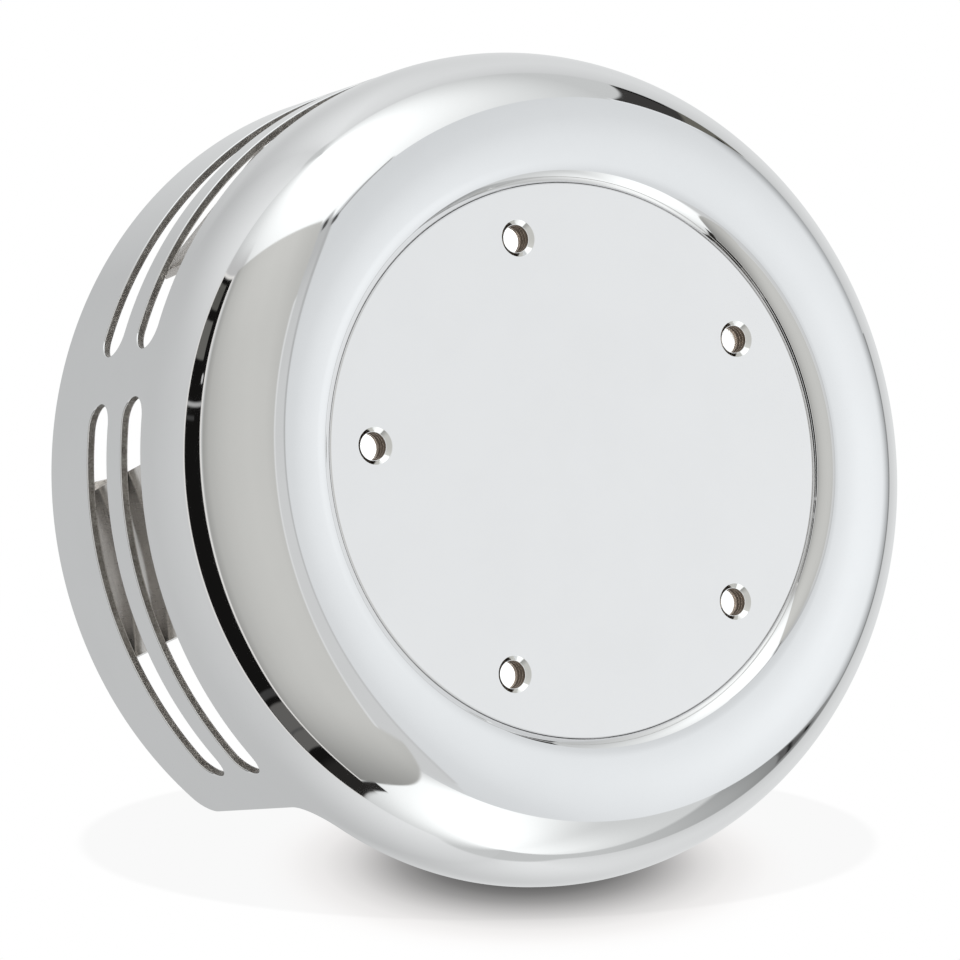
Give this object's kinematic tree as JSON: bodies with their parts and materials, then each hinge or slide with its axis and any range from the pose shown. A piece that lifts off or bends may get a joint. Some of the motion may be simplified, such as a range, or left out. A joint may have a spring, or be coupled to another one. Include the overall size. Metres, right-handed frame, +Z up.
{
  "type": "motorcycle air cleaner",
  "caption": "Round chrome motorcycle air cleaner: spun cover with two rows of slots, recessed tapped face, pleated filter, backing plate and flared intake.",
  "frame": {"origin": "centre of the intake mounting face, in the plane of the cover's rear rim", "axes": "-Y points out of the cover's face, +Z is up with the skirt's cut-away at the bottom, +X is to the right as seen from the front"},
  "size_m": [0.2032, 0.1004, 0.2032],
  "materials": {
    "cover_chrome": "polished",
    "face_chrome": "polished",
    "bracket_nickel": "satin",
    "zinc": "satin",
    "screw_steel": "satin",
    "black_screw": "satin",
    "cast_alloy": "cast",
    "turned_alloy": "satin",
    "gasket_paper": "matt",
    "seal_rubber": "matt",
    "filter_gauze": "matt",
    "mesh_wire": "satin",
    "cap_urethane": "matt"
  },
  "bodies": {
    "base": {"backing_plate": "cast_alloy", "intake_gasket": "gasket_paper", "velocity_ring": "turned_alloy", "plate_screws": "black_screw", "breather_bolts": "zinc", "breather_orings": "seal_rubber", "cap_posts": "zinc"},
    "cover": {"cover_shell": "cover_chrome", "face_plate": "face_chrome", "cover_brackets": "bracket_nickel", "slot_straps": "bracket_nickel", "clinch_nuts": "zinc"},
    "cover_fixings": {"cover_screws": "screw_steel", "cover_washers": "screw_steel"},
    "filter": {"filter_base_seal": "seal_rubber", "filter_media": "filter_gauze", "filter_inner_mesh": "mesh_wire", "filter_outer_mesh": "mesh_wire", "filter_cap_plate": "screw_steel", "filter_end_cap": "cap_urethane"},
    "cap_fixings": {"cap_screws": "screw_steel", "cap_washers": "screw_steel"}
  },
  "joints": [
    {"name": "cover_lift", "type": "slide", "parent": "base", "child": "cover", "axis": [0, -1, 0], "range_m": [0, 0.26]},
    {"name": "cap_screws_lift", "type": "slide", "parent": "base", "child": "cap_fixings", "axis": [0, -1, 0], "range_m": [0, 0.17]},
    {"name": "filter_lift", "type": "slide", "parent": "base", "child": "filter", "axis": [0, -1, 0], "range_m": [0, 0.105]},
    {"name": "cover_screws_lift", "type": "slide", "parent": "base", "child": "cover_fixings", "axis": [0, 1, 0], "range_m": [0, 0.04]}
  ],
  "couplings": [
    {"joint": "cap_screws_lift", "follows": "cover_lift", "ratio": 0.65},
    {"joint": "filter_lift", "follows": "cover_lift", "ratio": 0.4},
    {"joint": "cover_screws_lift", "follows": "cover_lift", "ratio": 0.15}
  ]
}
